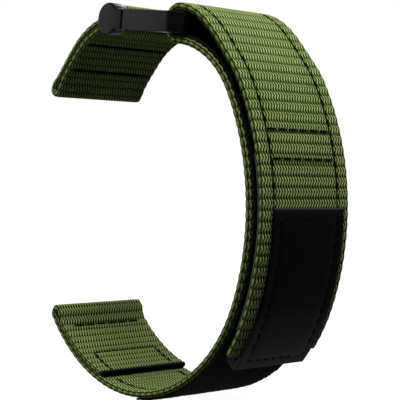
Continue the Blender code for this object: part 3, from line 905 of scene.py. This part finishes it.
tab_sheet_finish = tab_finish()
tab_foot = WEBBING_THICKNESS + SEWN_GAP
tab_front = tab_sheet("pull_tab_front_sheet", TAB_START, tab_foot, tab_foot + TAB_THICKNESS)
tab_back = tab_sheet("pull_tab_back_sheet", TAB_BACK_START, -SEWN_GAP, -SEWN_GAP - HOOK_THICKNESS)
for piece, node in ((tab_front, "pull_tab_front"), (tab_back, "pull_tab_back")):
    piece.data.materials.append(tab_sheet_finish)
    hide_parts(node)
    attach(piece, "tail")

# Black bonded thread. A stitch along the webbing spans nearly two of its ribs,
# and on the tab and across the strap the stitches follow each other closely.
# They are eight pieces, and each rides on what it holds together.

THREAD_RADIUS = 0.00010
THREAD_SIDES = 6
THREAD_TAPER = 0.65
THREAD_BOW = 0.00012
THREAD_SINK = 0.00006
WEAVE_SINK = 0.00012
TAB_SINK = 0.00022

# Of each row, the pitch of its stitches and the length of one.
TAIL_CROSS_STITCH = (0.00242, 0.00215)
TAB_SIDE_STITCH, TAB_END_STITCH = (0.00174, 0.00115), (0.00185, 0.00122)
ROLL_STITCH, ROLL_OUTER_STITCH = (0.00262, 0.00256), (0.00222, 0.0020)
BOX_CROSS_STITCH, BOX_SIDE_STITCH = (0.00208, 0.00175), (0.0018, 0.00115)
SHORT_STITCH = (0.00248, 0.0024)
RIBS_A_STITCH, RIBS_COVERED = 2, 1.7
TAIL_ROW_INSET, TAB_ROW_INSET = 0.0002, 0.0003


def thread_finish():
    made, shader, wire = finish_of("black_thread", roughness=0.7, Specular_IOR_Level=0.01)
    ply = grain(wire, 6000.0, 1.0)
    tinted(wire, shader, ply, (0.0004, 0.0004, 0.0004), (0.004, 0.004, 0.004))
    raised(wire, shader, ply, 0.00005)
    return made


black_thread = thread_finish()


def stitches(name, spans, spot, body, radius=THREAD_RADIUS, bow=THREAD_BOW):
    """Short arched threads. spot(a, y, out) gives a point, and spans their ends."""
    verts, faces = [], []
    steps = np.linspace(0, 1, 7)
    one_thread = tube_faces(len(steps), THREAD_SIDES)
    for (a0, y0), (a1, y1) in spans:
        rise = bow * (1 - (2 * steps - 1) ** 4) - THREAD_SINK
        line = np.array([
            spot(a0 + (a1 - a0) * t, y0 + (y1 - y0) * t, out) for t, out in zip(steps, rise)
        ])
        ahead = np.gradient(line, axis=0)
        ahead /= np.linalg.norm(ahead, axis=1)[:, None]
        up = spot(a0, y0, 0.001) - spot(a0, y0, 0.0)
        side = np.cross(ahead, up)
        side /= np.linalg.norm(side, axis=1)[:, None]
        over = np.cross(side, ahead)
        faces += [[len(verts) + corner for corner in face] for face in one_thread]
        for t, place, s, o in zip(steps, line, side, over):
            fat = radius * (1 - THREAD_TAPER * abs(2 * t - 1) ** 6)
            for k in range(THREAD_SIDES):
                angle = 2 * math.pi * k / THREAD_SIDES
                verts.append(place + fat * (s * math.cos(angle) + o * math.sin(angle)))
    made = skinned(name, verts, faces)
    made.data.materials.append(black_thread)
    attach(made, body)


def sewn_into(line, height, way=1):
    """Points of a face that lies at a height from a line, on its left or, way -1, right."""

    def spot(a, y, out):
        (x, z), = line(a, way * (height + out))[0]
        return np.array([x, y, z])

    return spot


def seam_spans(first, last, stitch, across=None, along=None):
    """Stitches of one length along a line across the strap or along it."""
    pitch, length = stitch
    count = int((last - first) / pitch + 1e-6)
    starts = [first + pitch * k for k in range(count)]
    if along is not None:
        return [((s, along), (s + length, along)) for s in starts]
    return [((across, s), (across, s + length)) for s in starts]


# Down the tail's two sides, and the two rows across it.
TAIL_STITCH_END = 0.0360
on_tail = sewn_into(tail_place, WEBBING_THICKNESS - WEAVE_SINK)
tail_pitch = TAIL_LENGTH / tail_ribs
tail_stitch = (RIBS_A_STITCH * tail_pitch, RIBS_COVERED * tail_pitch)
tail_spans = []
for y in TAIL_SEAMS:
    tail_spans += seam_spans(tail_pitch, TAIL_STITCH_END, tail_stitch, along=y)
for s in TAIL_CROSS_SEAMS:
    first, last = TAIL_SEAMS
    tail_spans += seam_spans(first + TAIL_ROW_INSET, last, TAIL_CROSS_STITCH, across=s)
stitches("tail_stitching", tail_spans, on_tail, "tail")

# Round the pull tab, just inside its border.
on_tab = sewn_into(tail_place, tab_foot + TAB_THICKNESS - TAB_SINK)
tab_half = TAB_HALF - TAB_BORDER
tab_top, tab_bottom = TAB_START + TAB_BORDER, TAB_END - TAB_BORDER
tab_spans = []
for y in (-tab_half, tab_half):
    tab_spans += seam_spans(tab_top, tab_bottom, TAB_SIDE_STITCH, along=y)
for s in (tab_top, tab_bottom):
    tab_spans += seam_spans(-tab_half + TAB_ROW_INSET, tab_half, TAB_END_STITCH, across=s)
stitches("pull_tab_stitching", tab_spans, on_tab, "tail", radius=0.00014, bow=0.00018)

# Under the lug the folded layer is sewn down: a row beside the roll, and a box.
# The loop tape is sewn on along the long strap's two sides.
ROLL_ROW_START, ROLL_ROW_END, ROLL_OUTER_ROW_END = -0.0078, 0.0080, 0.0078
BOX_SIDE_START, BOX_SIDE_END, BOX_OUTER_SIDE_END = 0.0124, 0.0180, 0.0280
LONG_SEAM_TO_FOLD = 0.004
on_folded_layer = sewn_into(wrist_line, HALF_WEBBING + SEWN_THICKNESS - WEAVE_SINK)
on_inner_face = sewn_into(wrist_line, HALF_WEBBING - WEAVE_SINK)
on_outer_face = sewn_into(wrist_line, HALF_WEBBING - WEAVE_SINK, way=-1)


def box_spans(end):
    """The box's row across the strap and its two sides, which run to end."""
    spans = seam_spans(-BOX_HALF, BOX_HALF, BOX_CROSS_STITCH, across=BOX_SEAM)
    for y in (-BOX_HALF, BOX_HALF):
        spans += seam_spans(BOX_SIDE_START, end, BOX_SIDE_STITCH, along=y)
    return spans


roll_spans = seam_spans(ROLL_ROW_START, ROLL_ROW_END, ROLL_STITCH, across=ROLL_SEAM)
stitches(
    "lug_roll_stitching", roll_spans, on_folded_layer, "long_strap",
    radius=0.00016, bow=0.00020,
)
stitches("lug_end_stitching", box_spans(BOX_SIDE_END), on_folded_layer, "long_strap")
long_pitch = long_length / long_ribs
long_stitch = (RIBS_A_STITCH * long_pitch, RIBS_COVERED * long_pitch)
inner_spans = []
for y in LONG_SEAMS:
    inner_spans += seam_spans(
        LONG_SEAM_START, wrist_length - LONG_SEAM_TO_FOLD, long_stitch, along=y
    )
stitches("long_strap_stitching", inner_spans, on_inner_face, "long_strap", bow=0.00020)
outer_spans = seam_spans(
    ROLL_ROW_START, ROLL_OUTER_ROW_END, ROLL_OUTER_STITCH, across=ROLL_SEAM
)
outer_spans += box_spans(BOX_OUTER_SIDE_END)
stitches("lug_end_outer_stitching", outer_spans, on_outer_face, "long_strap")


def short_face(station, off):
    """A point off from the middle of the short strap's layer on that side."""
    return short_line(station, off + np.sign(off) * short_layer(station))


# Across the short strap: over its ends' seam, and beside the lug.
SHORT_ROW_START, SHORT_ROW_END = -0.0086, 0.0087
for side, word in ((1, "inner"), (-1, "outer")):
    short_spans = []
    for s, _ in short_seams(side):
        short_spans += seam_spans(SHORT_ROW_START, SHORT_ROW_END, SHORT_STITCH, across=s)
    stitches(
        f"short_strap_{word}_stitching", short_spans,
        sewn_into(short_face, HALF_WEBBING - WEAVE_SINK, way=side), "short_strap",
        radius=0.00014, bow=0.00016,
    )

# Black satin metal: a U frame with a crossbar, two eye blocks pinned to it by
# dowels, and the steel pin that the short strap's loop turns on.

ARM_INNER, ARM_OUTER = 0.0103, 0.0130
ARM_HEIGHT = 0.0036
ARM_CORNER = 0.0026
ARM_START, FRAME_END = 0.0044, 0.0189
CROSSBAR_EDGE = 0.0014
EYE_RADIUS, EYE_NECK = 0.00285, 0.0041
TONGUE_INSET, TONGUE_REACH = 0.00035, 0.0003
METAL_OVERLAP = 0.0006
ARM_ROUND, FINE_ROUND, TONGUE_ROUND = 0.00042, 0.0003, 0.00005
HARD_EDGE = math.radians(40.0)
ARC_STEP = 6.0


def arc(centre, radius, start, end):
    """Points along an arc, a few degrees apart."""
    count = max(2, round(abs(math.degrees(end - start)) / ARC_STEP))
    return [
        (centre[0] + radius * math.cos(a), centre[1] + radius * math.sin(a))
        for a in np.linspace(start, end, count + 1)
    ]


def on_buckle(ahead, across, up):
    """A point of the buckle, from the hinge: towards the crossbar, across and up."""
    x, z = hinge + ahead * arm_line + up * arm_up
    return x, across, z


def rounded_prism(outline, lay, low, high, rounding):
    """An outline carried from low to high, its hard edges rounded over."""
    work = bmesh.new()
    ends = [[work.verts.new(lay(a, b, level)) for a, b in outline] for level in (low, high)]
    for end in ends:
        work.faces.new(end)
    for k in range(len(outline)):
        work.faces.new([ends[0][k - 1], ends[0][k], ends[1][k], ends[1][k - 1]])
    bmesh.ops.recalc_face_normals(work, faces=work.faces)
    hard = [e for e in work.edges if e.calc_face_angle() > HARD_EDGE]
    bmesh.ops.bevel(
        work, geom=hard, offset=rounding, segments=4, profile=0.5, affect="EDGES",
        clamp_overlap=True,
    )
    return work


def united(name, works):
    """One closed piece from several worked meshes that run into each other."""
    parts = [linked("part", work) for work in works]
    for part in parts[1:]:
        union = parts[0].modifiers.new("union", "BOOLEAN")
        union.operation, union.solver, union.object = "UNION", "EXACT", part
    graph = bpy.context.evaluated_depsgraph_get()
    work = bmesh.new()
    work.from_mesh(bpy.data.meshes.new_from_object(parts[0].evaluated_get(graph)))
    for part in parts:
        bpy.data.objects.remove(part)
    return linked(name, work, crease=32.0)


def metal_frame():
    """The crossbar and both arms as one casting."""
    half, edge = CROSSBAR_THICKNESS / 2, CROSSBAR_EDGE / 2
    bar = arc((HINGE_TO_CROSSBAR, 0.0), half, math.pi / 2, 3 * math.pi / 2)
    bar += [(FRAME_END, -edge), (FRAME_END, edge)]
    reach = ARM_INNER + METAL_OVERLAP
    works = [rounded_prism(bar, lambda a, b, y: on_buckle(a, y, b), -reach, reach, FINE_ROUND)]
    corner = (FRAME_END - ARM_CORNER, ARM_OUTER - ARM_CORNER)
    arm = [(ARM_START, ARM_INNER), (FRAME_END, ARM_INNER)]
    arm += arc(corner, ARM_CORNER, 0.0, math.pi / 2) + [(ARM_START, ARM_OUTER)]
    for side in (-1, 1):
        works.append(rounded_prism(
            [(a, side * b) for a, b in arm], on_buckle, -ARM_HEIGHT / 2, ARM_HEIGHT / 2,
            ARM_ROUND,
        ))
    return united("buckle_frame_metal", works)


def eye_block(name, side):
    """A round eye on a straight neck, and a tongue from it into the arm's end."""
    half = ARM_HEIGHT / 2
    start = math.asin(half / EYE_RADIUS)
    eye = arc((0.0, 0.0), EYE_RADIUS, start, 2 * math.pi - start)
    eye += [(EYE_NECK, -half), (EYE_NECK, half)]
    root, tip = EYE_NECK - METAL_OVERLAP, ARM_START + TONGUE_REACH
    flat = half - TONGUE_INSET
    tongue = [(root, -flat), (tip, -flat), (tip, flat), (root, flat)]
    works = [
        rounded_prism(outline, lambda a, b, y: on_buckle(a, side * y, b), low, high, rounding)
        for outline, low, high, rounding in (
            (eye, ARM_INNER, ARM_OUTER, FINE_ROUND),
            (tongue, ARM_INNER + TONGUE_INSET, ARM_OUTER - TONGUE_INSET, TONGUE_ROUND),
        )
    ]
    return united(name, works)


def satin_metal_finish():
    made, shader, wire = finish_of("satin_black_metal", roughness=0.36, Specular_IOR_Level=0.031)
    speckle = grain(wire, 9000.0, 2.0)
    cloud = grain(wire, 300.0, 2.0)
    tinted(wire, shader, cloud, (0.002, 0.002, 0.0023), (0.005, 0.005, 0.0055))
    wire.feed(shader.inputs["Roughness"], speckle * 0.10 + 0.19)
    raised(wire, shader, speckle, 0.000015)
    return made


def steel_finish():
    made, shader, wire = finish_of("pin_steel", roughness=0.3, metallic=1.0)
    lines = grain(wire, 900.0, 2.0, (1.0, 12.0, 1.0))
    tinted(wire, shader, lines, (0.30, 0.30, 0.31), (0.48, 0.48, 0.49))
    wire.feed(shader.inputs["Roughness"], lines * 0.2 + 0.22)
    return made


satin_metal, pin_steel = satin_metal_finish(), steel_finish()
for piece, node in (
    (metal_frame(), "buckle_frame"),
    (eye_block("eye_block_near_metal", -1), "eye_block_near"),
    (eye_block("eye_block_far_metal", 1), "eye_block_far"),
):
    piece.data.materials.clear()
    piece.data.materials.append(satin_metal)
    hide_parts(node)
    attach(piece, "buckle")
for name in ("frame_dowel_near", "frame_dowel_far", "hinge_pin"):
    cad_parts[name].data.materials[0] = pin_steel

# A white sweep in soft studio light: a broad lamp above, a weaker one low on
# the left and a small one behind. A long lens looks on at the strap's height.

FLOOR_HALF = 3.0
FLOOR_GLOW = 0.97
SKY_LIGHT = 0.005
LIT_POINT = Vector((0.03, 0.0, 0.02))
VIEW_TURN = math.radians(48.5)

floor_mesh = bpy.data.meshes.new("white_floor")
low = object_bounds()[0][2]
corners = ((-1, -1), (1, -1), (1, 1), (-1, 1))
floor_mesh.from_pydata(
    [(x * FLOOR_HALF, y * FLOOR_HALF, low) for x, y in corners], [], [(0, 1, 2, 3)]
)
floor = bpy.data.objects.new("white_floor", floor_mesh)
bpy.context.scene.collection.objects.link(floor)


def plainly_seen(wire):
    """1 for what the camera sees, also in gloss and through glass, and 0 for light."""
    path = wire.node("ShaderNodeLightPath")
    shown, glossy, through = (
        Wire(wire.tree, path.outputs[f"Is {kind} Ray"])
        for kind in ("Camera", "Glossy", "Transmission")
    )
    return (shown + glossy + through).held()


floor_finish, floor_shader, wire = finish_of("white_floor", roughness=0.9)
floor_shader.inputs["Base Color"].default_value = (0.02, 0.02, 0.02, 1.0)
glow = wire.node("ShaderNodeEmission", Strength=plainly_seen(wire) * FLOOR_GLOW)
both = wire.node("ShaderNodeAddShader")
wire.tree.links.new(floor_shader.outputs[0], both.inputs[0])
wire.tree.links.new(glow.outputs[0], both.inputs[1])
wire.tree.links.new(both.outputs[0], wire.tree.nodes["Material Output"].inputs["Surface"])
floor_mesh.materials.append(floor_finish)

world = bpy.data.worlds.new("studio")
bpy.context.scene.world = world
world.use_nodes = True
wire = Wire(world.node_tree, None)
open_sky = plainly_seen(wire)
back = world.node_tree.nodes["Background"]
back.inputs["Color"].default_value = (1.0, 1.0, 1.0, 1.0)
wire.feed(back.inputs["Strength"], open_sky + (1 - open_sky) * SKY_LIGHT)


def soft_light(name, place, power, size):
    light = bpy.data.lights.new(name, "AREA")
    light.energy, light.size = power, size
    made = bpy.data.objects.new(name, light)
    bpy.context.scene.collection.objects.link(made)
    made.location = place
    aim = LIT_POINT - made.location
    made.rotation_euler = aim.to_track_quat("-Z", "Y").to_euler()


soft_light("top_light", (0.21, -0.03, 0.50), 2.55, 0.30)
soft_light("front_left_light", (-0.36, -0.34, 0.12), 0.7, 0.28)
soft_light("back_light", (-0.165, 0.33, 0.38), 0.75, 0.12)

camera_data = bpy.data.cameras.new("camera")
camera_data.sensor_width = 36.0
camera_data.lens = 108.0
camera_data.clip_start = 0.01
camera = bpy.data.objects.new("camera", camera_data)
bpy.context.scene.collection.objects.link(camera)
camera.location = (0.19153, -0.14250, 0.02179)
look = Vector((-math.sin(VIEW_TURN), math.cos(VIEW_TURN), 0.0))
camera.rotation_euler = look.to_track_quat("-Z", "Y").to_euler()
bpy.context.scene.camera = camera
bpy.context.scene.view_settings.view_transform = "Standard"
